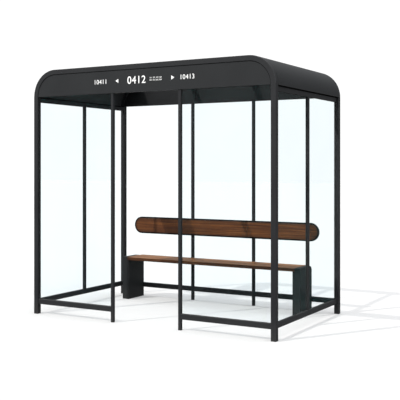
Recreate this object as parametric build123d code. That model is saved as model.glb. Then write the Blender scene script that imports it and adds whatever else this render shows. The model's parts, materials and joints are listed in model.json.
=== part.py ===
from build123d import *
import os

# Glazed street shelter for waiting passengers: two bent steel portals carry coved roof
# sides, fascias and a glass roof, with glass walls round a bench and an open bay in front.
# Millimetres. The origin is on the ground at the centre of the plan; the front faces -Y.

# Overall size
LENGTH = 2700  # outside the corner posts, along X
DEPTH = 1550  # outside the corner posts, along Y
HEIGHT = 2460  # ground to the crown of the portals
BEND_R = 265  # outside radius of the portal bends and of the coved roof sides

# Sections
POST = 50  # square tube of the posts and bows
POST_CORNER = 4  # outside corner radius of that tube
BAR = 30  # square tube of the mullions, and width of the rails
BAR_CORNER = 3
WALL = 3  # wall of every steel tube
SILL_H = 50  # height of the sills, which are 30 deep
HEADER_H = 40  # height of the end headers, 30 deep
GLASS = 8
SHEET = 3  # folded sheet of fascias, coves and bench legs
FOOT = 6  # plate that closes the foot of an upright
RIB = 60  # square tube of the roof ribs

# Levels and places
CENTRE_BAY = 758  # between the mullions that frame the doorway and the middle rear bay
SILL_Z = 100  # underside of the sills
SHADOW_GAP = 10  # joint between an end header and the cove over it
SPACER = 16  # width of the strip that carries the cove across that joint
FASCIA_T = 40  # fascia box, front to back
JOINT = 3  # groove between a fascia and the bow round it, and between roof panes
END_INSET = 10  # end rails and mullions sit flush with the inside of the posts
REBATE = 18  # roof glass bed, below the crown
LEDGE = 22  # width of the shelf that carries the edge of the roof glass

# Bench
SEAT_LENGTH = 2040
SEAT_DEPTH = 300
SEAT_TOP = 473
SEAT_T = 36
SEAT_EASE = 2  # bevelled long edges of the seat
LAP = 20  # of each end of the seat on the shoulder of a leg
LEG_T = 84
LEG_R = 50  # rounded upper rear corner of a leg
BENCH_X = -30  # the bench stands a little left of centre
BEARER = 60  # flat bar under the seat
BEARER_T = 6
BEARER_INSET = 60  # from a long edge of the seat to the bar

# Backrest
BACK_LENGTH = 2280
BACK_H = 190
BACK_Z = 722
BACK_T = 24  # tray and board, front to back
RIM = 5  # edge of the tray
GROOVE = 9  # shadow groove between the rim and the board
PROUD = 2  # board in front of the rim
ARRIS = 2  # bevel round the front of the board

# Worked out from the sizes above
POST_X = (LENGTH - POST) / 2
POST_Y = (DEPTH - POST) / 2
INNER_Y = POST_Y - POST / 2
INNER_X = POST_X - POST / 2
BAY_X = CENTRE_BAY / 2
END_X = POST_X - END_INSET
SPRING = HEIGHT - BEND_R  # where posts end, bends and coves start and the fascias hang to
ARC_X = LENGTH / 2 - BEND_R
HEADER_Z = SPRING - SHADOW_GAP - HEADER_H
SILL_TOP = SILL_Z + SILL_H
BED_Z = HEIGHT - REBATE
REAR_LINE = POST_Y - BAR / 2  # front of the rear mullions, which bench and backrest meet
SEAT_FRONT = REAR_LINE - SEAT_DEPTH
SIDES = {"left": -1, "right": 1}
FACES = {"front": -1, "rear": 1}


def block(x0, x1, y0, y1, z0, z1):
    """Plain block between two corners."""
    return Pos((x0 + x1) / 2, (y0 + y1) / 2, (z0 + z1) / 2) * Box(x1 - x0, y1 - y0, z1 - z0)


def tube_outline(width, height):
    """Rounded outline of a steel tube."""
    corner = POST_CORNER if width == POST else BAR_CORNER
    return RectangleRounded(width, height, corner)


def tube_section(width, height):
    """Cross-section of a steel tube with rounded outer corners."""
    return tube_outline(width, height) - Rectangle(width - 2 * WALL, height - 2 * WALL)


def upright(x, y, size, z0, z1):
    """Square tube on end, closed by a foot plate."""
    tube = extrude(Pos(x, y, z0) * tube_section(size, size), z1 - z0)
    return tube + extrude(Pos(x, y, z0) * tube_outline(size, size), FOOT)


def rail_x(x0, x1, y, z0, height):
    """Rectangular tube along X."""
    end = Plane((x0, y, z0 + height / 2), x_dir=(0, 1, 0), z_dir=(1, 0, 0))
    return extrude(end * tube_section(BAR, height), x1 - x0)


def rail_y(x, z0, height):
    """Rectangular tube along Y, from the front portal to the rear one."""
    end = Plane((x, -INNER_Y, z0 + height / 2), x_dir=(-1, 0, 0), z_dir=(0, 1, 0))
    return extrude(end * tube_section(BAR, height), 2 * INNER_Y)


def end_header(x):
    """Rail over an end wall, with the strip that carries the cove above the joint."""
    top = HEADER_Z + HEADER_H
    strip = block(x - SPACER / 2, x + SPACER / 2, -INNER_Y, INNER_Y, top, SPRING)
    return rail_y(x, HEADER_Z, HEADER_H) + strip


def arch(inset, bottom):
    """Face with rounded upper corners, set in from the portal's outline, level at the bottom."""
    width = LENGTH - 2 * inset
    top = HEIGHT - inset
    low = bottom - BEND_R
    tall = Pos(0, (low + top) / 2) * Rectangle(width, top - low)
    rounded = fillet(tall.vertices().group_by(Axis.Y)[-1], BEND_R - inset)
    return rounded - Pos(0, (low + bottom) / 2) * Rectangle(width, BEND_R)


def standing(face, y, depth):
    """A face of the XZ plane made into a solid, its mid-plane at y."""
    return extrude(Plane.XZ.offset(-y) * face, amount=depth / 2, both=True)


def bow(y):
    """Bent square tube that joins the heads of two posts."""
    bend_axis = Axis((ARC_X, y, SPRING), (0, -1, 0))
    bend = revolve(Pos(POST_X, y, SPRING) * tube_section(POST, POST), bend_axis, 90)
    middle = Plane((-ARC_X, y, HEIGHT - POST / 2), x_dir=(0, 1, 0), z_dir=(1, 0, 0))
    run = extrude(middle * tube_section(POST, POST), 2 * ARC_X)
    return bend + run + mirror(bend, Plane.YZ)


def fascia(y):
    """Folded box panel that fills the portal's head, a groove inside the bow."""
    rim = POST + JOINT
    skin = standing(arch(rim, SPRING), y, FASCIA_T)
    hollow = standing(arch(rim + SHEET, SPRING + SHEET), y, FASCIA_T - 2 * SHEET)
    return skin - hollow


def cove(side):
    """Curved roof side: a quarter bend with a hem below and the roof glass rebate above."""
    ring = Circle(BEND_R) - Circle(BEND_R - SHEET)
    quarter = ring & (Pos(BEND_R / 2, BEND_R / 2) * Rectangle(BEND_R, BEND_R))
    hem = Pos(BEND_R - BAR / 2, SHEET / 2) * Rectangle(BAR, SHEET)
    step = Pos(SHEET / 2, BEND_R - REBATE / 2) * Rectangle(SHEET, REBATE)
    shelf = Pos(-LEDGE / 2 + SHEET / 2, BEND_R - REBATE - SHEET / 2) * Rectangle(LEDGE + SHEET, SHEET)
    solid = standing(Pos(ARC_X, SPRING) * (quarter + hem + step + shelf), 0, 2 * INNER_Y)
    return solid if side > 0 else mirror(solid, Plane.YZ)


def ledge(side):
    """Angles along a bow that carry the roof glass between the coves and the ribs."""
    face_y = side * INNER_Y
    tip_y = face_y - side * LEDGE
    web_y = face_y - side * SHEET
    near = BAY_X - RIB / 2
    far = BAY_X + RIB / 2
    spans = [(LEDGE - ARC_X, -far), (-near, near), (far, ARC_X - LEDGE)]
    angles = []
    for x0, x1 in spans:
        flange = block(x0, x1, min(face_y, tip_y), max(face_y, tip_y), BED_Z - SHEET, BED_Z)
        web = block(x0, x1, min(face_y, web_y), max(face_y, web_y), BED_Z - LEDGE, BED_Z)
        angles.append(flange + web)
    return Compound(children=angles)


def wall_pane_x(x0, x1, y):
    """Pane of the front or rear wall, from sill to fascia."""
    return block(x0, x1, y - GLASS / 2, y + GLASS / 2, SILL_TOP, SPRING)


def end_panes(side):
    """The two panes of an end wall, before and behind its mullion."""
    x = side * END_X
    panes = []
    for y0, y1 in ((-INNER_Y, -BAR / 2), (BAR / 2, INNER_Y)):
        panes.append(block(x - GLASS / 2, x + GLASS / 2, y0, y1, SILL_TOP, HEADER_Z))
    return Compound(children=panes)


def roof_rib(x):
    """Square tube from bow to bow that carries the roof glass on both sides of a joint."""
    end = Plane((x, -INNER_Y, BED_Z - RIB / 2), x_dir=(-1, 0, 0), z_dir=(0, 1, 0))
    outline = chamfer(Rectangle(RIB, RIB).vertices(), BAR_CORNER)
    return extrude(end * (outline - Rectangle(RIB - 2 * WALL, RIB - 2 * WALL)), 2 * INNER_Y)


def roof_pane(x0, x1):
    """Pane of the flat roof, bedded on the ribs, ledges and coves."""
    edge = INNER_Y - JOINT
    return block(x0, x1, -edge, edge, BED_Z, BED_Z + GLASS)


def seat_span(cut, y0, y1, z0, z1):
    """Block along the seat, its ends cut back from those of the seat."""
    half = SEAT_LENGTH / 2 - cut
    return block(BENCH_X - half, BENCH_X + half, y0, y1, z0, z1)


def leg_outline(inset):
    """Side of a bench leg, its upper rear corner rounded, set in all round."""
    width = SEAT_DEPTH - 2 * inset
    face = Pos(REAR_LINE - SEAT_DEPTH / 2, SEAT_TOP / 2) * Rectangle(width, SEAT_TOP - 2 * inset)
    corner = face.vertices().sort_by(Axis.X)[-2:].sort_by(Axis.Y)[-1]
    return fillet(corner, LEG_R - inset)


def leg_form(side, inset):
    """Leg with the rebate that an end of the seat lies in, set in all round."""
    middle = Plane.YZ.offset(BENCH_X + side * (SEAT_LENGTH / 2 - LAP + LEG_T / 2))
    form = extrude(middle * leg_outline(inset), amount=LEG_T / 2 - inset, both=True)
    return form - seat_span(-inset, SEAT_FRONT, REAR_LINE, SEAT_TOP - SEAT_T - inset, SEAT_TOP)


def bench_leg(side):
    """Narrow closed box of folded steel that carries an end of the seat."""
    return leg_form(side, 0) - leg_form(side, SHEET)


def bench_seat():
    """Hardwood seat let in flush between the heads of the legs, with bevelled long edges."""
    board = seat_span(0, SEAT_FRONT, REAR_LINE, SEAT_TOP - SEAT_T, SEAT_TOP)
    return chamfer(board.edges().filter_by(Axis.X), SEAT_EASE)


def bench_bearers():
    """Flat steel bars under the seat, from leg to leg."""
    top = SEAT_TOP - SEAT_T
    bars = []
    for y0 in (SEAT_FRONT + BEARER_INSET, REAR_LINE - BEARER_INSET - BEARER):
        bars.append(seat_span(LAP, y0, y0 + BEARER, top - BEARER_T, top))
    return Compound(children=bars)


def stadium(inset, y0, y1):
    """Long plate with round ends, standing behind the seat."""
    face = SlotOverall(BACK_LENGTH - 2 * inset, BACK_H - 2 * inset)
    return standing(Pos(0, BACK_Z + BACK_H / 2) * face, (y0 + y1) / 2, y1 - y0)


def backrest_tray():
    """Shallow steel tray with a round-ended rim, on the rear mullions."""
    rim_y = REAR_LINE - BACK_T + PROUD
    return stadium(0, rim_y, REAR_LINE) - stadium(RIM, rim_y, REAR_LINE - SHEET)


def backrest_board():
    """Hardwood board in the tray, a groove inside its rim and a little proud of it."""
    board = stadium(RIM + GROOVE, REAR_LINE - BACK_T, REAR_LINE - SHEET)
    return chamfer(board.edges().group_by(Axis.Y)[0], ARRIS)


def build():
    """Every sub-part by name."""
    parts = {}
    gap = BAY_X - BAR / 2
    for face, fy in FACES.items():
        y = fy * POST_Y
        parts[f"{face}_bow"] = bow(y)
        parts[f"{face}_fascia"] = fascia(y)
        parts[f"{face}_roof_ledge"] = ledge(fy)
        for side, sx in SIDES.items():
            parts[f"{face}_{side}_post"] = upright(sx * POST_X, y, POST, 0, SPRING)
            parts[f"{face}_{side}_mullion"] = upright(sx * BAY_X, y, BAR, 0, SPRING)
            x0, x1 = sorted((sx * INNER_X, sx * (BAY_X + BAR / 2)))
            parts[f"{face}_{side}_sill"] = rail_x(x0, x1, y, SILL_Z, SILL_H)
            parts[f"{face}_{side}_pane"] = wall_pane_x(x0, x1, y)
    parts["rear_middle_sill"] = rail_x(-gap, gap, POST_Y, SILL_Z, SILL_H)
    parts["rear_middle_pane"] = wall_pane_x(-gap, gap, POST_Y)
    for side, sx in SIDES.items():
        parts[f"{side}_end_sill"] = rail_y(sx * END_X, SILL_Z, SILL_H)
        parts[f"{side}_end_header"] = end_header(sx * END_X)
        parts[f"{side}_end_mullion"] = upright(sx * END_X, 0, BAR, SILL_TOP, HEADER_Z)
        parts[f"{side}_end_panes"] = end_panes(sx)
        parts[f"{side}_cove"] = cove(sx)
        parts[f"{side}_roof_rib"] = roof_rib(sx * BAY_X)
        x0, x1 = sorted((sx * (ARC_X - JOINT), sx * (BAY_X + JOINT / 2)))
        parts[f"{side}_roof_pane"] = roof_pane(x0, x1)
        parts[f"bench_{side}_leg"] = bench_leg(sx)
    parts["middle_roof_pane"] = roof_pane(-BAY_X + JOINT / 2, BAY_X - JOINT / 2)
    parts["bench_seat"] = bench_seat()
    parts["bench_bearers"] = bench_bearers()
    parts["backrest_tray"] = backrest_tray()
    parts["backrest_board"] = backrest_board()
    return parts


os.makedirs("parts", exist_ok=True)
for name, shape in build().items():
    export_step(shape, f"parts/{name}.step")
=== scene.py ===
import bmesh
import bpy
import json
import math
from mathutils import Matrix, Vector


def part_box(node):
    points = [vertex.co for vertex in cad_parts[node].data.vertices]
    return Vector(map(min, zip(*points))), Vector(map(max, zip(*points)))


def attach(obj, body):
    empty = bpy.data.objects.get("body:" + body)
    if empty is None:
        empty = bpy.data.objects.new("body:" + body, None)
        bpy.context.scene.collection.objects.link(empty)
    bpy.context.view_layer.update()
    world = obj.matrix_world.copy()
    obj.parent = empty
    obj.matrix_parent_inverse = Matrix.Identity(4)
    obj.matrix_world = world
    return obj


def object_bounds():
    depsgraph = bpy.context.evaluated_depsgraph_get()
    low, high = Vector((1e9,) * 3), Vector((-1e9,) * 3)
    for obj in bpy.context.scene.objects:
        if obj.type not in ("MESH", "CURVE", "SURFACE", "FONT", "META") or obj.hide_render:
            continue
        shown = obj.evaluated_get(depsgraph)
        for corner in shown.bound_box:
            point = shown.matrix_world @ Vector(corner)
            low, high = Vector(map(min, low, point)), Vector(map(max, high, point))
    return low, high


# The looks of a glazed street shelter: powder-coated steel portals and rails, toughened glass
# in rubber gaskets, an oiled walnut bench, and a fascia with stop numbers in white film.
# Metres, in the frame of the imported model: the front faces -Y and the ground is at Z = 0.

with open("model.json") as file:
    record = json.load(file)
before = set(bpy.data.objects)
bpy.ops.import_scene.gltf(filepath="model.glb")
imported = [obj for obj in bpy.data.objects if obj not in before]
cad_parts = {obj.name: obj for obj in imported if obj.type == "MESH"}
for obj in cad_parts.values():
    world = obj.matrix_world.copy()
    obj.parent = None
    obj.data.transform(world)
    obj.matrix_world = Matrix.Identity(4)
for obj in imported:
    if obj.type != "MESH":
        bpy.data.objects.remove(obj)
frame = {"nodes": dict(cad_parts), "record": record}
cad_low, cad_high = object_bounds()
nodes = frame["nodes"]
pane_low, pane_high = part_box("rear_middle_pane")
wall_line = (pane_low.y + pane_high.y) / 2
MM = 0.001


# ---------------------------------------------------------------- materials

def srgb(code, alpha=1.0):
    """Linear colour of an sRGB hex code such as "#2a2b2c"."""
    channels = [int(code[i:i + 2], 16) / 255 for i in (1, 3, 5)]
    linear = [c / 12.92 if c <= 0.04045 else ((c + 0.055) / 1.055) ** 2.4 for c in channels]
    return (*linear, alpha)


def add(tree, kind, inputs=None, stops=(), **settings):
    """Adds a shader node. Inputs takes a value or a socket for each name or number, and
    stops the (place, hex code) pairs of a colour ramp."""
    node = tree.nodes.new("ShaderNode" + kind)
    for name, value in settings.items():
        setattr(node, name, value)
    for key, value in (inputs or {}).items():
        if isinstance(value, bpy.types.NodeSocket):
            tree.links.new(value, node.inputs[key])
        else:
            node.inputs[key].default_value = value
    for _ in stops[2:]:
        node.color_ramp.elements.new(0.5)
    for i, (place, code) in enumerate(stops):
        node.color_ramp.elements[i].position = place
        node.color_ramp.elements[i].color = srgb(code)
    return node


def new_material(name):
    """Empty material, its node tree and a vector that runs in metres over the whole shelter."""
    material = bpy.data.materials.new(name)
    material.use_nodes = True
    material.node_tree.nodes.clear()
    tree = material.node_tree
    return material, tree, add(tree, "TexCoord").outputs["Object"]


def per_metre(millimetres):
    """Texture scale for a pattern of that real size."""
    return 1 / (millimetres * MM)


def looks_up(tree):
    """How far a face looks up: 1 on a level top, 0 on a wall and -1 underneath."""
    normal = add(tree, "NewGeometry").outputs["True Normal"]
    return add(tree, "SeparateXYZ", {"Vector": normal}).outputs["Z"]


def powder_coat(name, coat, inside_light_and_shade, peel_mm, roughness):
    """Powder-coated steel, sprayed dry and baked: a satin film whose faint orange peel breaks
    up the shine. A little street dust lies on it, most near the ground. On faces within the
    walls that don't look up, the second colours take over and paint the light and shade
    there: shade where they are darker than the coat, light where they are paler. Both are
    (dark, pale) pairs."""
    material, tree, place = new_material(name)
    cloud = add(tree, "TexNoise", {"Vector": place, "Scale": per_metre(400), "Detail": 3.0})
    axes = add(tree, "SeparateXYZ", {"Vector": place}).outputs
    off_centre = add(tree, "Math", {0: axes["Y"]}, operation="ABSOLUTE").outputs["Value"]
    within = add(tree, "Math", {0: off_centre, 1: wall_line}, operation="LESS_THAN").outputs["Value"]
    not_up = add(tree, "Math", {0: looks_up(tree), 1: 0.01}, operation="LESS_THAN").outputs["Value"]
    # faces within the walls that don't look up take the second colours: painted light and shade
    inside = add(tree, "Math", {0: within, 1: not_up}, operation="MULTIPLY")
    outer, inner = [add(tree, "ValToRGB", {"Fac": cloud.outputs["Fac"]}, stops=[(0.3, dark), (0.75, pale)])
                    for dark, pale in (coat, inside_light_and_shade)]
    shade = add(tree, "Mix", {"Factor": inside.outputs["Value"], "A": outer.outputs["Color"],
                              "B": inner.outputs["Color"]}, data_type="RGBA")
    splash = add(tree, "MapRange", {"Value": axes["Z"], "From Min": 0.0, "From Max": SPLASH,
                                    "To Min": GRIME, "To Max": 0.0})
    speck = add(tree, "TexNoise", {"Vector": place, "Scale": per_metre(12), "Detail": 6.0})
    dust = add(tree, "Math", {0: splash.outputs["Result"], 1: speck.outputs["Fac"]}, operation="MULTIPLY")
    colour = add(tree, "Mix", {"Factor": dust.outputs["Value"], "A": shade.outputs["Result"],
                               "B": srgb(DUST)}, data_type="RGBA")
    peel = add(tree, "TexNoise", {"Vector": place, "Scale": per_metre(peel_mm), "Detail": 2.0})
    rough = add(tree, "MapRange", {"Value": cloud.outputs["Fac"], "To Min": roughness - 0.05,
                                   "To Max": roughness + 0.07})
    bump = add(tree, "Bump", {"Height": peel.outputs["Fac"], "Strength": 0.25, "Distance": 0.15 * MM})
    shader = add(tree, "BsdfPrincipled", {"Base Color": colour.outputs["Result"],
                                          "Roughness": rough.outputs["Result"],
                                          "Normal": bump.outputs["Normal"], "Specular IOR Level": 0.3})
    add(tree, "OutputMaterial", {"Surface": shader.outputs["BSDF"]})
    return material


def painted_rim_shade(tree, place, node):
    """Share of painted shade along the outline of a round-ended board, standing in for the
    shade of the groove round it: none on the face, most at the edge."""
    low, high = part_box(node)
    bend = (high.z - low.z) / 2
    reach = (high.x - low.x) / 2 - bend
    off = add(tree, "VectorMath", {0: place, 1: (low + high) / 2}, operation="SUBTRACT")
    half = add(tree, "VectorMath", {0: off.outputs["Vector"]}, operation="ABSOLUTE")
    past = add(tree, "VectorMath", {0: half.outputs["Vector"], 1: (reach, high.y - low.y, 0.0)},
               operation="SUBTRACT")
    from_spine = add(tree, "VectorMath", {0: past.outputs["Vector"], 1: (0.0, 0.0, 0.0)}, operation="MAXIMUM")
    away = add(tree, "VectorMath", {0: from_spine.outputs["Vector"]}, operation="LENGTH").outputs["Value"]
    return add(tree, "MapRange", {"Value": away, "From Min": bend - RIM_SHADE_WIDTH, "From Max": bend, "To Min": 0.0,
                                  "To Max": RIM_SHADE_SHARE}).outputs["Result"]


def oiled_walnut(name, stops, top_stops, sheen, polish, board=None):
    """Walnut boards, planed and oiled: long streaks of heartwood from straw brown to near
    black, short dark pores along the grain, and a low sheen from the oil. Faces that look
    up take their colours from the second stops, which can paint sunlight on a top while
    darker first stops paint shade on its sides. A round-ended board gets painted shade
    along its outline."""
    material, tree, place = new_material(name)
    # the grain sways every 700 mm; its figure is 18 mm wide and 1.1 m long, its streaks 5 mm
    bend = add(tree, "TexNoise", {"Vector": place, "Scale": per_metre(700), "Detail": 1.0})
    sway = add(tree, "VectorMath", {0: bend.outputs["Color"], 1: (0.0, SWAY, SWAY)}, operation="MULTIPLY")
    wavy = add(tree, "VectorMath", {0: place, 1: sway.outputs["Vector"]}, operation="ADD")
    broad = add(tree, "Mapping", {"Vector": wavy.outputs["Vector"],
                                  "Scale": (per_metre(1100), per_metre(18), per_metre(18))})
    fine = add(tree, "Mapping", {"Vector": wavy.outputs["Vector"],
                                 "Scale": (per_metre(350), per_metre(5), per_metre(5))})
    # real pores are 0.2 mm wide; these are 2 mm, so that they show
    short = add(tree, "Mapping", {"Vector": wavy.outputs["Vector"],
                                  "Scale": (per_metre(40), per_metre(2), per_metre(2))})
    figure = add(tree, "TexNoise", {"Vector": broad.outputs["Vector"], "Scale": 1.0, "Detail": 3.0})
    streak = add(tree, "TexNoise", {"Vector": fine.outputs["Vector"], "Scale": 1.0, "Detail": 4.0})
    pore = add(tree, "TexNoise", {"Vector": short.outputs["Vector"], "Scale": 1.0, "Detail": 1.0})
    grain = add(tree, "Mix", {"Factor": 0.45, "A": figure.outputs["Fac"], "B": streak.outputs["Fac"]})
    edges = add(tree, "ValToRGB", {"Fac": grain.outputs["Result"]}, stops=stops)
    # the second stops paint light on faces that look up
    top = add(tree, "ValToRGB", {"Fac": grain.outputs["Result"]}, stops=top_stops)
    upward = add(tree, "MapRange", {"Value": looks_up(tree), "From Min": 0.3, "From Max": 0.9})
    wood = add(tree, "Mix", {"Factor": upward.outputs["Result"], "A": edges.outputs["Color"],
                             "B": top.outputs["Color"]}, data_type="RGBA")
    open_pore = add(tree, "MapRange", {"Value": pore.outputs["Fac"], "From Min": 0.3, "From Max": 0.42,
                                       "To Min": 0.6, "To Max": 0.0})
    dark = open_pore.outputs["Result"]
    # painted shade along the outline of a round-ended board
    if board:
        rim = painted_rim_shade(tree, place, board)
        dark = add(tree, "Math", {0: dark, 1: rim}, operation="MAXIMUM").outputs["Value"]
    colour = add(tree, "Mix", {"Factor": dark, "A": wood.outputs["Result"], "B": srgb(PORE)},
                 data_type="RGBA")
    bump = add(tree, "Bump", {"Height": open_pore.outputs["Result"], "Strength": 0.4,
                              "Distance": 0.3 * MM}, invert=True)
    rough = add(tree, "MapRange", {"Value": streak.outputs["Fac"], "To Min": polish, "To Max": polish + 0.16})
    shader = add(tree, "BsdfPrincipled", {"Base Color": colour.outputs["Result"],
                                          "Roughness": rough.outputs["Result"],
                                          "Normal": bump.outputs["Normal"], "Specular IOR Level": sheen})
    add(tree, "OutputMaterial", {"Surface": shader.outputs["BSDF"]})
    return material


def toughened_glass(name):
    """Clear float glass, toughened in the furnace: nearly invisible, the faint green of its
    iron, and a shine that shows and turns pale where it is seen aslant. It throws no shadow."""
    material, tree, place = new_material(name)
    film = add(tree, "TexNoise", {"Vector": place, "Scale": per_metre(500), "Detail": 2.0})
    tint = add(tree, "ValToRGB", {"Fac": film.outputs["Fac"]}, stops=[(0.3, "#fcfefe"), (0.7, "#fbfdfe")])
    clear = add(tree, "BsdfTransparent", {"Color": tint.outputs["Color"]})
    aslant = add(tree, "LayerWeight", {"Blend": 0.5}).outputs["Facing"]
    body = add(tree, "ValToRGB", {"Fac": aslant}, stops=[(0.6, "#5dd0ca"), (0.8, "#a9c7c3")])
    shine = add(tree, "BsdfGlossy", {"Color": body.outputs["Color"], "Roughness": 0.02})
    # half a percent of shine face on, and fifteen percent at a glancing angle
    steep = add(tree, "Math", {0: aslant, 1: 5.0}, operation="POWER")
    share = add(tree, "Math", {0: steep.outputs["Value"], 1: 0.15, 2: 0.005}, operation="MULTIPLY_ADD")
    both = add(tree, "MixShader", {0: share.outputs["Value"], 1: clear.outputs["BSDF"],
                                   2: shine.outputs["BSDF"]})
    bare = add(tree, "BsdfTransparent", {"Color": srgb("#ffffff")})
    shadow = add(tree, "LightPath").outputs["Is Shadow Ray"]
    surface = add(tree, "MixShader", {0: shadow, 1: both.outputs["Shader"], 2: bare.outputs["BSDF"]})
    add(tree, "OutputMaterial", {"Surface": surface.outputs["Shader"]})
    return material


def moulded_rubber(name):
    """EPDM rubber, extruded: dull black with a faint grey bloom."""
    material, tree, place = new_material(name)
    bloom = add(tree, "TexNoise", {"Vector": place, "Scale": per_metre(60), "Detail": 4.0})
    colour = add(tree, "ValToRGB", {"Fac": bloom.outputs["Fac"]}, stops=[(0.35, "#0e0f0f"), (0.7, "#1b1c1c")])
    shader = add(tree, "BsdfPrincipled", {"Base Color": colour.outputs["Color"], "Roughness": 0.75})
    add(tree, "OutputMaterial", {"Surface": shader.outputs["BSDF"]})
    return material


def black_sealant_and_shade(name):
    """Soot black with no shine, for sealant and for strips that paint shade in joints, so that no shine gives
    a joint away.
    """
    material, tree, place = new_material(name)
    # real cells are 0.5 mm wide; these are 3 mm, so that they show
    cells = add(tree, "TexNoise", {"Vector": place, "Scale": per_metre(3), "Detail": 3.0})
    colour = add(tree, "ValToRGB", {"Fac": cells.outputs["Fac"]}, stops=[(0.35, "#050505"), (0.7, "#0b0b0b")])
    shader = add(tree, "BsdfPrincipled", {"Base Color": colour.outputs["Color"], "Roughness": 0.95,
                                          "Specular IOR Level": 0.1})
    add(tree, "OutputMaterial", {"Surface": shader.outputs["BSDF"]})
    return material


def cast_vinyl(name):
    """White sign film, cut and rolled on: an even, slightly soft white."""
    material, tree, place = new_material(name)
    grain = add(tree, "TexNoise", {"Vector": place, "Scale": per_metre(30), "Detail": 2.0})
    colour = add(tree, "ValToRGB", {"Fac": grain.outputs["Fac"]}, stops=[(0.3, "#eceded"), (0.7, "#f6f6f5")])
    shader = add(tree, "BsdfPrincipled", {"Base Color": colour.outputs["Color"], "Roughness": 0.45})
    add(tree, "OutputMaterial", {"Surface": shader.outputs["BSDF"]})
    return material


def turned_stainless(name):
    """Stainless fixings, turned and brushed: a grey metal with fine rings of scratches."""
    material, tree, place = new_material(name)
    # real scratches are 0.1 mm wide; these are 1.5 mm, so that they show
    scratch = add(tree, "TexNoise", {"Vector": place, "Scale": per_metre(1.5), "Detail": 3.0})
    colour = add(tree, "ValToRGB", {"Fac": scratch.outputs["Fac"]},
                 stops=[(0.3, "#8f9091"), (0.7, "#b9babb")])
    shader = add(tree, "BsdfPrincipled", {"Base Color": colour.outputs["Color"], "Roughness": 0.32,
                                          "Metallic": 1.0})
    add(tree, "OutputMaterial", {"Surface": shader.outputs["BSDF"]})
    return material


DUST = "#6d6a64"
GRIME = 0.16  # its share at ground level
SPLASH = 180 * MM  # height to which rain splashes it
TUBE = ("#17181b", "#1d1f21")
SHEET = ("#17191b", "#1c1e20")
INSIDE_SHADE = ("#0d0e10", "#121315")  # painted shade on the inside of the fascias, darker than the coat
INSIDE_LIGHT = ("#2c2e2f", "#323435")  # painted light on the inside of the coves, a shade paler than the coat
BENCH = ("#141719", "#191c1e")
FRAME_COAT = powder_coat("powder_coated_steel_tube", TUBE, TUBE, 3, 0.5)
PANEL_COAT = powder_coat("powder_coated_steel_sheet", SHEET, SHEET, 4, 0.5)
FASCIA_COAT = powder_coat("powder_coated_fascia_sheet", SHEET, INSIDE_SHADE, 4, 0.5)
COVE_COAT = powder_coat("powder_coated_cove_sheet", SHEET, INSIDE_LIGHT, 4, 0.5)
BENCH_COAT = powder_coat("powder_coated_bench_steel", BENCH, BENCH, 2.5, 0.5)
PORE = "#24140c"
SWAY = 20 * MM  # how far the grain wanders
RIM_SHADE_WIDTH = 26 * MM  # width of the painted shade band round a round-ended board
RIM_SHADE_SHARE = 0.75  # share of painted shade at its very edge
HEARTWOOD = [(0.32, "#291407"), (0.44, "#452510"), (0.54, "#5f3719"), (0.66, "#7c4e28")]
# for the seat: darker stops paint shade on its sides and front, paler stops paint sunlight on its top
SHADED = [(0.32, "#211006"), (0.44, "#351d0d"), (0.54, "#492a14"), (0.66, "#5f3d20")]
PAINTED_TOP_LIGHT = [(0.32, "#4a2c17"), (0.44, "#6a4326"), (0.54, "#7f5534"), (0.66, "#976d48")]
BACK_WALNUT = oiled_walnut("oiled_walnut", HEARTWOOD, HEARTWOOD, 0.3, 0.34, "backrest_board")
SEAT_WALNUT = oiled_walnut("walnut_with_painted_light_and_shade", SHADED, PAINTED_TOP_LIGHT, 0.35, 0.3)
GLASS = toughened_glass("toughened_float_glass")
RUBBER = moulded_rubber("epdm_rubber")
SEALANT_AND_SHADE = black_sealant_and_shade("black_sealant_and_painted_shade")
WHITE_FILM = cast_vinyl("white_sign_film")
STAINLESS = turned_stainless("stainless_steel")

COATS = {"frame_steel": FRAME_COAT, "cladding": PANEL_COAT, "furniture_steel": BENCH_COAT,
         "timber": BACK_WALNUT, "glass": GLASS}
for part in frame["record"]["subparts"]:
    mesh = nodes[part["node"]].data
    mesh.materials.clear()
    mesh.materials.append(COATS[part["material_slot"]])
for face in ("front", "rear"):
    nodes[f"{face}_fascia"].data.materials[0] = FASCIA_COAT
for side in ("left", "right"):
    nodes[f"{side}_cove"].data.materials[0] = COVE_COAT
nodes["bench_seat"].data.materials[0] = SEAT_WALNUT


# ---------------------------------------------------------------- pieces

GASKET = 3 * MM  # sight line of the glazing gasket, inside the frame
GASKET_OFF = 6 * MM  # of the gasket off the glass
SHADOW_GAP = 10 * MM  # height of the joint over an end header
SPACER = 16 * MM  # width of the steel strip in that joint
SEAL_BACK = 4 * MM  # seals and painted-shade strips lie this far behind the faces beside them
STRIP = 2 * MM  # foam under the hem of the cove
LAP = 3 * MM  # of the roof seal on the glass
CROWN = 2 * MM  # painted-shade strip under the hem of the cove
BEAD = 4 * MM  # leg of the weld fillets
RIPPLE = 3 * MM  # pitch of the ripples in a weld
WELD_INSET = 4 * MM  # of the ends of a weld from the corners of the tube
TROUGH = 0.85  # leg of a weld between its ripples, against BEAD
TAIL = 0.5  # leg at the ends of a fillet weld, against BEAD
BULGE = 0.6  # how far the middle of a weld stands off both faces, in legs
SHEET_T = 3 * MM  # thickness of the coves and of the backrest's tray
ROOT = 0.5 * MM  # depth of a seam weld in the steel on both sides
TRAY_RIM = 5 * MM  # width of the rim round the tray
SHADE_STRIP_BACK = 2 * MM  # of the painted-shade strip in the tray behind that rim
BOLT_OFF = 50 * MM  # of the backrest's bolts, above and below its middle
SCREW_OFF = 60 * MM  # of its screws
SCREW_INSET = 130 * MM  # of its first screw from the end
SCREW_PITCH = 230 * MM
SEAT_SCREW_EDGE = 30 * MM  # of the seat's screws from the front and back of the bearers
SEAT_SCREW_INSET = 80 * MM  # of the first one from the end
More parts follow.
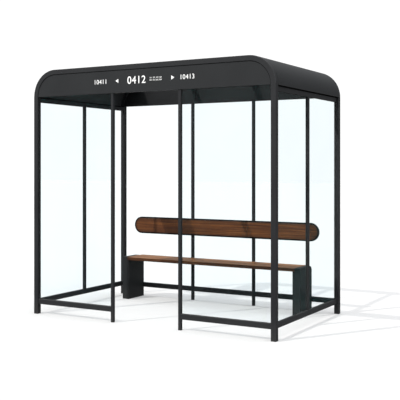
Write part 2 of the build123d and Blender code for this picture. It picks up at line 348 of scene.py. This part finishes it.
SEAT_SCREW_PITCH = 300 * MM
RIVET_INSET = 45 * MM  # of the first rivet from the end of the fascia
RIVET_PITCH = 250 * MM
RIVET_LINE = 18 * MM  # over the foot of the fascia
FILM = 0.3 * MM  # thickness of the sign film

# Turned outlines, as (radius, height) in millimetres
BOLT = ((10, 0), (10, 1.5), (7.5, 1.5), (7.5, 2.2), (6.9, 4.0), (5.2, 5.4), (3.2, 6.0), (2.6, 6.0),
        (2.6, 3.0))
SCREW = ((6, 0), (5.8, 1.0), (4.6, 2.4), (2.8, 3.2), (1.8, 3.3), (1.8, 1.6))
RIVET = ((5, 0), (4.8, 0.8), (3.6, 1.8), (1.9, 2.3), (1.5, 1.9))


def piece(name, build, material):
    """A new piece that rides on the shelter, from a build of closed shapes."""
    bmesh.ops.recalc_face_normals(build, faces=build.faces)
    mesh = bpy.data.meshes.new(name)
    build.to_mesh(mesh)
    build.free()
    mesh.materials.append(material)
    made = bpy.data.objects.new(name, mesh)
    bpy.context.scene.collection.objects.link(made)
    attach(made, "root")
    return made


def skin(build, rows, ring=False):
    """Closed shape through rows of points: the rows close into a ring, or end in caps."""
    loops = [[build.verts.new(point) for point in row] for row in rows]
    steps = list(zip(loops, loops[1:]))
    if ring:
        steps.append((loops[-1], loops[0]))
    else:
        build.faces.new(loops[0])
        build.faces.new(loops[-1])
    for near, far in steps:
        for i in range(len(near)):
            build.faces.new((near[i - 1], near[i], far[i], far[i - 1]))


def block(build, low, high):
    """Straight strip between two corners."""
    x0, y0, z0 = low
    x1, y1, z1 = high
    skin(build, [[(x, y0, z0), (x, y1, z0), (x, y1, z1), (x, y0, z1)] for x in (x0, x1)])


def spot(centre, axis, across, up, out):
    """Point across and up in the plane square to an axis, and out along that axis."""
    point = Vector(centre)
    first, second = [i for i in range(3) if i != axis]
    point[first] += across
    point[second] += up
    point[axis] += out
    return point


def mitred(build, centre, axis, half_across, half_up, outline):
    """Closed frame round a rectangle, mitred at its corners, from an outline of (inward, out)."""
    rows = []
    for inward, out in outline:
        rows.append([spot(centre, axis, a * (half_across - inward), b * (half_up - inward), out)
                     for a, b in ((1, 1), (-1, 1), (-1, -1), (1, -1))])
    skin(build, rows, ring=True)


def turned(build, centre, axis, side, outline, steps=20):
    """Round fixing turned from an outline, its foot on a face at the centre."""
    turns = [math.tau * i / steps for i in range(steps)]
    rows = []
    for radius, height in outline:
        r = radius * MM
        rows.append([spot(centre, axis, r * math.cos(t), r * math.sin(t), side * height * MM) for t in turns])
    skin(build, rows)


def evenly(start, end, pitch):
    """Places from start to end, about a pitch apart."""
    count = round((end - start) / pitch)
    return [start + (end - start) * i / count for i in range(count + 1)]


def gasket(build, low, high, axis):
    """Rubber wedged round a pane on both faces: a quarter round from the glass to the frame."""
    centre = (low + high) / 2
    half_across, half_up = [(high - low)[i] / 2 for i in range(3) if i != axis]
    face = (high - low)[axis] / 2
    steps = 5
    turns = [math.pi / 2 * i / steps for i in range(steps + 1)]
    wedge = [(0.0, 0.0)] + [(GASKET * math.cos(t), GASKET_OFF * math.sin(t)) for t in turns]
    for side in (-1, 1):
        outline = [(inward, side * (face + off)) for inward, off in wedge]
        mitred(build, centre, axis, half_across, half_up, outline)


def glazing_gaskets():
    """Gaskets of all the wall panes; an end wall has two panes in one node."""
    for pane in ("front_left", "front_right", "rear_left", "rear_middle", "rear_right"):
        build = bmesh.new()
        gasket(build, *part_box(f"{pane}_pane"), axis=1)
        piece(f"{pane}_gasket", build, RUBBER)
    for side in ("left", "right"):
        build = bmesh.new()
        low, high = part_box(f"{side}_end_panes")
        near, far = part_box(f"{side}_end_mullion")
        gasket(build, low, Vector((high.x, near.y, high.z)), axis=0)
        gasket(build, Vector((low.x, far.y, low.z)), high, axis=0)
        piece(f"{side}_end_gaskets", build, RUBBER)


def shadow_gap_painted_shade():
    """Black strips in the joint over each end header, on both sides of its steel strip, and
    under the hem of the cove: painted shade, so that the joint reads as one dark line."""
    for side, way in (("left", -1), ("right", 1)):
        low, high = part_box(f"{side}_end_header")
        cove_low, cove_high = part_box(f"{side}_cove")
        middle = (low.x + high.x) / 2
        half = (high.x - low.x) / 2
        hem = way * ((cove_high if way > 0 else cove_low).x - middle) - SEAL_BACK
        joint = high.z - SHADOW_GAP
        build = bmesh.new()
        for near, far, foot in ((-half + SEAL_BACK, -SPACER / 2, joint),
                                (SPACER / 2, half - SEAL_BACK, joint),
                                (half - SEAL_BACK, hem, high.z - STRIP)):
            x0, x1 = sorted((middle + way * near, middle + way * far))
            block(build, (x0, low.y, foot), (x1, high.y, high.z))
        piece(f"{side}_shadow_gap_painted_shade", build, SEALANT_AND_SHADE)


def between(outer, inner, front, back):
    """Sections of a strip that fills the gap between two outlines of (x, z)."""
    return [[(xo, front, zo), (xi, front, zi), (xi, back, zi), (xo, back, zo)]
            for (xo, zo), (xi, zi) in zip(outer, inner)]


def arch(inset, radius, spring, reach, steps=20):
    """Outline of a portal's head from spring to spring, set in from its outside."""
    bend = radius - inset
    turns = [math.pi / 2 * i / steps for i in range(steps + 1)]
    right = [(reach + bend * math.cos(t), spring + bend * math.sin(t)) for t in turns]
    return right + [(-x, z) for x, z in reversed(right)]


def groove_sealant(face):
    """Black sealant at the bottom of the groove between a fascia and its bow."""
    bow_low, bow_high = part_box(f"{face}_bow")
    low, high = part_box(f"{face}_fascia")
    radius = bow_high.z - low.z
    reach = bow_high.x - radius
    outer = arch(bow_high.y - bow_low.y, radius, low.z, reach)
    inner = arch(bow_high.z - high.z, radius, low.z, reach)
    build = bmesh.new()
    skin(build, between(outer, inner, low.y + SEAL_BACK, high.y - SEAL_BACK))
    piece(f"{face}_groove_sealant", build, SEALANT_AND_SHADE)


def roof_seals():
    """Rubber seals round the roof glass and between its panes, lapped on the glass and crowned."""
    left_low, left_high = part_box("left_roof_pane")
    middle_low, middle_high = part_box("middle_roof_pane")
    right_low, right_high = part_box("right_roof_pane")
    thick = right_high.z - right_low.z
    gap = left_low.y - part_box("front_bow")[1].y
    build = bmesh.new()
    round_edge = ((0, 0), (gap, 0), (gap, thick), (gap + LAP, thick), (gap, thick + CROWN),
                  (0, thick + CROWN))
    mitred(build, (0, 0, right_low.z), 2, right_high.x + gap, right_high.y + gap, round_edge)
    for x0, x1 in ((left_high.x, middle_low.x), (middle_high.x, right_low.x)):
        section = ((x0, 0), (x1, 0), (x1, thick), (x1 + LAP, thick), (x1, thick + CROWN),
                   (x0, thick + CROWN), (x0 - LAP, thick), (x0, thick))
        skin(build, [[(x, y, right_low.z + z) for x, z in section] for y in (right_low.y, right_high.y)])
    piece("roof_seals", build, RUBBER)


def weld(build, start, end, off_rail, off_post):
    """Convex fillet weld along the corner between a rail and a post, rippled by the torch."""
    steps = 2 * round((end - start).length / RIPPLE)
    rows = []
    for i in range(steps + 1):
        leg = BEAD * (TAIL if i in (0, steps) else 1.0 if i % 2 else TROUGH)
        corner = start.lerp(end, i / steps)
        rows.append([corner, corner + leg * off_rail, corner + BULGE * leg * (off_rail + off_post),
                     corner + leg * off_post])
    skin(build, rows)


def weld_end(build, node, axis, side, faces):
    """Welds at one end of a rail, on its faces with these outward normals."""
    low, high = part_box(node)
    off_post = Vector()
    off_post[axis] = -side
    for face in faces:
        facing = max(range(3), key=lambda i: abs(face[i]))
        along = 3 - axis - facing
        start = Vector(high if side > 0 else low)
        start[facing] = high[facing] if face[facing] > 0 else low[facing]
        end = start.copy()
        start[along] = low[along] + WELD_INSET
        end[along] = high[along] - WELD_INSET
        weld(build, start, end, Vector(face), off_post)


def sill_welds():
    """Painted welds under the sills, and at their sides where a wider post leaves room."""
    down = (0, 0, -1)
    build = bmesh.new()
    for side, way in (("left", -1), ("right", 1)):
        for face in ("front", "rear"):
            weld_end(build, f"{face}_{side}_sill", 0, way, (down, (0, -1, 0), (0, 1, 0)))
            weld_end(build, f"{face}_{side}_sill", 0, -way, (down,))
        weld_end(build, "rear_middle_sill", 0, way, (down,))
        for end in (-1, 1):
            weld_end(build, f"{side}_end_sill", 1, end, (down, (way, 0, 0)))
    piece("sill_welds", build, FRAME_COAT)


def cove_welds():
    """Painted seam welds inside the coves, along the rounded corners of the bows."""
    build = bmesh.new()
    for side, way in (("left", -1), ("right", 1)):
        low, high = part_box(f"{side}_cove")
        radius = high.z - low.z
        centre = (high if way > 0 else low).x - way * radius
        under = radius - SHEET_T
        steps = 2 * round(math.pi / 2 * under / RIPPLE)
        for y, inward in ((low.y, 1), (high.y, -1)):
            rows = []
            for i in range(steps + 1):
                turn = math.pi / 2 * i / steps
                leg = BEAD * (1.0 if i % 2 else TROUGH)
                section = ((under + ROOT, -ROOT), (under + ROOT, leg),
                           (under - BULGE * leg, BULGE * leg), (under - leg, -ROOT))
                rows.append([(centre + way * r * math.cos(turn), y + inward * off, low.z + r * math.sin(turn))
                             for r, off in section])
            skin(build, rows)
    piece("cove_welds", build, COVE_COAT)


def round_ended(low, high, inset, steps=24):
    """Outline of a round-ended panel, set in from its edge."""
    middle = (low + high) / 2
    bend = (high.z - low.z) / 2
    reach = (high.x - low.x) / 2 - bend
    turns = [math.pi * (i / steps - 0.5) for i in range(steps + 1)]
    right = [(reach + (bend - inset) * math.cos(t), (bend - inset) * math.sin(t)) for t in turns]
    return [(middle.x + way * x, middle.z + way * z) for way in (1, -1) for x, z in right]


def backrest_groove_painted_shade():
    """Black strip in the groove between the backrest's board and the rim of its tray: painted shade that
    darkens the groove.
    """
    low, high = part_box("backrest_tray")
    outer = round_ended(low, high, TRAY_RIM)
    inner = round_ended(*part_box("backrest_board"), 0.0)
    build = bmesh.new()
    skin(build, between(outer, inner, low.y + SHADE_STRIP_BACK, high.y - SHEET_T), ring=True)
    piece("backrest_groove_painted_shade", build, SEALANT_AND_SHADE)


def backrest_fixings():
    """Security bolts through the rear mullions, and screws through the tray into its board."""
    tray_low, tray_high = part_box("backrest_tray")
    level = (tray_low.z + tray_high.z) / 2
    bolts = bmesh.new()
    for side in ("left", "right"):
        low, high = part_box(f"rear_{side}_mullion")
        for up in (-BOLT_OFF, BOLT_OFF):
            turned(bolts, ((low.x + high.x) / 2, high.y, level + up), 1, 1, BOLT)
    piece("backrest_bolts", bolts, STAINLESS)
    screws = bmesh.new()
    for x in evenly(tray_low.x + SCREW_INSET, tray_high.x - SCREW_INSET, SCREW_PITCH):
        for up in (-SCREW_OFF, SCREW_OFF):
            turned(screws, (x, tray_high.y, level + up), 1, 1, SCREW)
    piece("backrest_screws", screws, STAINLESS)


def seat_screws():
    """Screws up through the two bearers into the seat."""
    low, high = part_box("bench_bearers")
    build = bmesh.new()
    for x in evenly(low.x + SEAT_SCREW_INSET, high.x - SEAT_SCREW_INSET, SEAT_SCREW_PITCH):
        for y in (low.y + SEAT_SCREW_EDGE, high.y - SEAT_SCREW_EDGE):
            turned(build, (x, y, low.z), 2, -1, SCREW)
    piece("seat_screws", build, STAINLESS)


def fascia_rivets():
    """Painted rivets along the foot of each fascia's inner sheet."""
    for face, side in (("front", 1), ("rear", -1)):
        low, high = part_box(f"{face}_fascia")
        inner = (high if side > 0 else low).y
        build = bmesh.new()
        for x in evenly(low.x + RIVET_INSET, high.x - RIVET_INSET, RIVET_PITCH):
            turned(build, (x, inner, low.z + RIVET_LINE), 1, side, RIVET, steps=12)
        piece(f"{face}_fascia_rivets", build, FASCIA_COAT)


# Sign film, in millimetres: figures, height, how far right of the middle and over the line
FIGURES = (("10411", 43, -512, 0), ("0412", 71, -92, 0), ("10413", 43, 468, 0),
           ("101 102 103 104", 13, 124, 11), ("201 202 203 204", 13, 124, -11))
ARROWS = ((-317, -1), (311, 1))  # (how far right of the middle, way it points)
ARROW_L = 32  # along the fascia
ARROW_H = 38
LINE = 113  # of the figures over the lower edge of the fascia
BOLD = 0.006  # each stroke is thickened by this share of the type size
SPREAD = 1.08  # wider spacing than the type's own


def figures(build, body, height, x, z, face):
    """Plain figures cut from film, as high as asked, with their middle at x and z."""
    curve = bpy.data.curves.new("figures", "FONT")
    curve.body = body
    curve.offset = BOLD
    curve.space_character = SPREAD
    curve.extrude = 1.0  # each way; it becomes the thickness of the film
    text = bpy.data.objects.new("figures", curve)
    mesh = bpy.data.meshes.new_from_object(text)
    xs, ys, _ = zip(*(v.co for v in mesh.vertices))
    scale = height * MM / (max(ys) - min(ys))
    for v in mesh.vertices:
        across = (v.co.x - (min(xs) + max(xs)) / 2) * scale
        up = (v.co.y - (min(ys) + max(ys)) / 2) * scale
        v.co = (x + across, face - FILM / 2 * (1 + v.co.z), z + up)
    build.from_mesh(mesh)


def fascia_film():
    """Stop numbers and arrows in white film on the front fascia."""
    low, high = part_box("front_fascia")
    middle = (low.x + high.x) / 2
    build = bmesh.new()
    for body, height, right, over in FIGURES:
        figures(build, body, height, middle + right * MM, low.z + (LINE + over) * MM, low.y)
    for right, way in ARROWS:
        tip = middle + (right + way * ARROW_L / 2) * MM
        tail = tip - way * ARROW_L * MM
        z = low.z + LINE * MM
        half = ARROW_H / 2 * MM
        skin(build, [[(tip, y, z), (tail, y, z + half), (tail, y, z - half)] for y in (low.y - FILM, low.y)])
    bmesh.ops.remove_doubles(build, verts=build.verts, dist=FILM / 10)
    piece("fascia_film", build, WHITE_FILM)


glazing_gaskets()
shadow_gap_painted_shade()
for face in ("front", "rear"):
    groove_sealant(face)
roof_seals()
sill_welds()
cove_welds()
backrest_groove_painted_shade()
backrest_fixings()
seat_screws()
fascia_rivets()
fascia_film()


# ---------------------------------------------------------------- stage, light and camera

WHITE = 1.09  # radiance of the backdrop and of the sunlit floor, a little over white
SKY_LOW = 0.35  # at the horizon
SKY_SIDE = 0.85  # at the horizon on the right
SKY_HIGH = 2.9
FLOOR_GLOW = 0.28
FLOOR_LEAN = (0.24, 0.37, 1.0)  # its shading leans from the sun, which then counts for less
SKY_BEHIND = 0.22  # the sky behind the shelter, against the rest
SUN = 3.55
SUN_WAY = Vector((0.434, 0.672, -1.0))
SUN_DISC = 0.9  # degrees across, for soft shadows
FLOOR_REACH = 60.0
FLOOR_DROP = 0.5 * MM  # below the feet of the posts


def pale_floor(name):
    """Frosted studio floor, lit from above and a little from below, so that it turns white
    and shadows on it stay pale; it throws only a little light back on the shelter."""
    material, tree, place = new_material(name)
    mottle = add(tree, "TexNoise", {"Vector": place, "Scale": per_metre(900), "Detail": 2.0})
    colour = add(tree, "ValToRGB", {"Fac": mottle.outputs["Fac"]}, stops=[(0.3, "#adadad"), (0.7, "#afafaf")])
    lean = add(tree, "VectorMath", {0: FLOOR_LEAN}, operation="NORMALIZE")
    top = add(tree, "BsdfDiffuse", {"Color": colour.outputs["Color"], "Normal": lean.outputs["Vector"]})
    glow = add(tree, "Emission", {"Color": srgb("#ffffff"), "Strength": FLOOR_GLOW})
    pale = add(tree, "AddShader", {0: top.outputs["BSDF"], 1: glow.outputs["Emission"]})
    dim = add(tree, "BsdfDiffuse", {"Color": srgb("#6c6c6c")})
    seen = add(tree, "LightPath").outputs["Is Camera Ray"]
    mixed = add(tree, "MixShader", {0: seen, 1: dim.outputs["BSDF"], 2: pale.outputs["Shader"]})
    add(tree, "OutputMaterial", {"Surface": mixed.outputs["Shader"]})
    return material


def studio():
    """Pale floor, white backdrop, a soft overhead sky and a sun at the front left."""
    floor_mesh = bpy.data.meshes.new("floor")
    corners = [(x * FLOOR_REACH, y * FLOOR_REACH, 0) for x, y in ((-1, -1), (1, -1), (1, 1), (-1, 1))]
    floor_mesh.from_pydata(corners, [], [(0, 1, 2, 3)])
    floor = bpy.data.objects.new("floor", floor_mesh)
    bpy.context.scene.collection.objects.link(floor)
    floor.location.z = cad_low.z - FLOOR_DROP
    floor_mesh.materials.append(pale_floor("pale_floor"))

    world = bpy.data.worlds.new("studio")
    bpy.context.scene.world = world
    world.use_nodes = True
    tree = world.node_tree
    tree.nodes.clear()
    direction = add(tree, "TexCoord").outputs["Generated"]
    axes = add(tree, "SeparateXYZ", {"Vector": direction}).outputs
    low_sky = add(tree, "MapRange", {"Value": axes["X"], "To Min": SKY_LOW, "To Max": SKY_SIDE})
    overhead = add(tree, "MapRange", {"Value": axes["Z"], "To Min": low_sky.outputs["Result"],
                                      "To Max": SKY_HIGH})
    behind = add(tree, "MapRange", {"Value": axes["Y"], "From Min": 0.1, "From Max": 0.85, "To Min": 1.0,
                                    "To Max": SKY_BEHIND})
    level = add(tree, "Math", {0: overhead.outputs["Result"], 1: behind.outputs["Result"]},
                operation="MULTIPLY")
    sky = add(tree, "Background", {"Color": srgb("#fcfdff"), "Strength": level.outputs["Value"]})
    backdrop = add(tree, "Background", {"Color": srgb("#ffffff"), "Strength": WHITE})
    seen = add(tree, "LightPath").outputs["Is Camera Ray"]
    mixed = add(tree, "MixShader", {0: seen, 1: sky.outputs["Background"], 2: backdrop.outputs["Background"]})
    add(tree, "OutputWorld", {"Surface": mixed.outputs["Shader"]})

    sun_data = bpy.data.lights.new("sun", "SUN")
    sun_data.energy = SUN
    sun_data.color = srgb("#fffcf6")[:3]
    sun_data.angle = math.radians(SUN_DISC)
    sun = bpy.data.objects.new("sun", sun_data)
    bpy.context.scene.collection.objects.link(sun)
    sun.rotation_euler = SUN_WAY.to_track_quat("-Z", "Y").to_euler()


def stand_camera():
    """Level camera to the right of the doorway, at standing eye height."""
    data = bpy.data.cameras.new("camera")
    data.sensor_width = 36.0
    data.lens = 73.16
    data.shift_x = -0.0150
    data.shift_y = -0.0851
    camera = bpy.data.objects.new("camera", data)
    bpy.context.scene.collection.objects.link(camera)
    camera.location = (4.2720, -7.0694, 1.4976)
    camera.rotation_euler = (math.radians(90.0), 0.0, math.radians(29.819))
    bpy.context.scene.camera = camera
    bpy.context.scene.view_settings.view_transform = "Standard"


studio()
stand_camera()
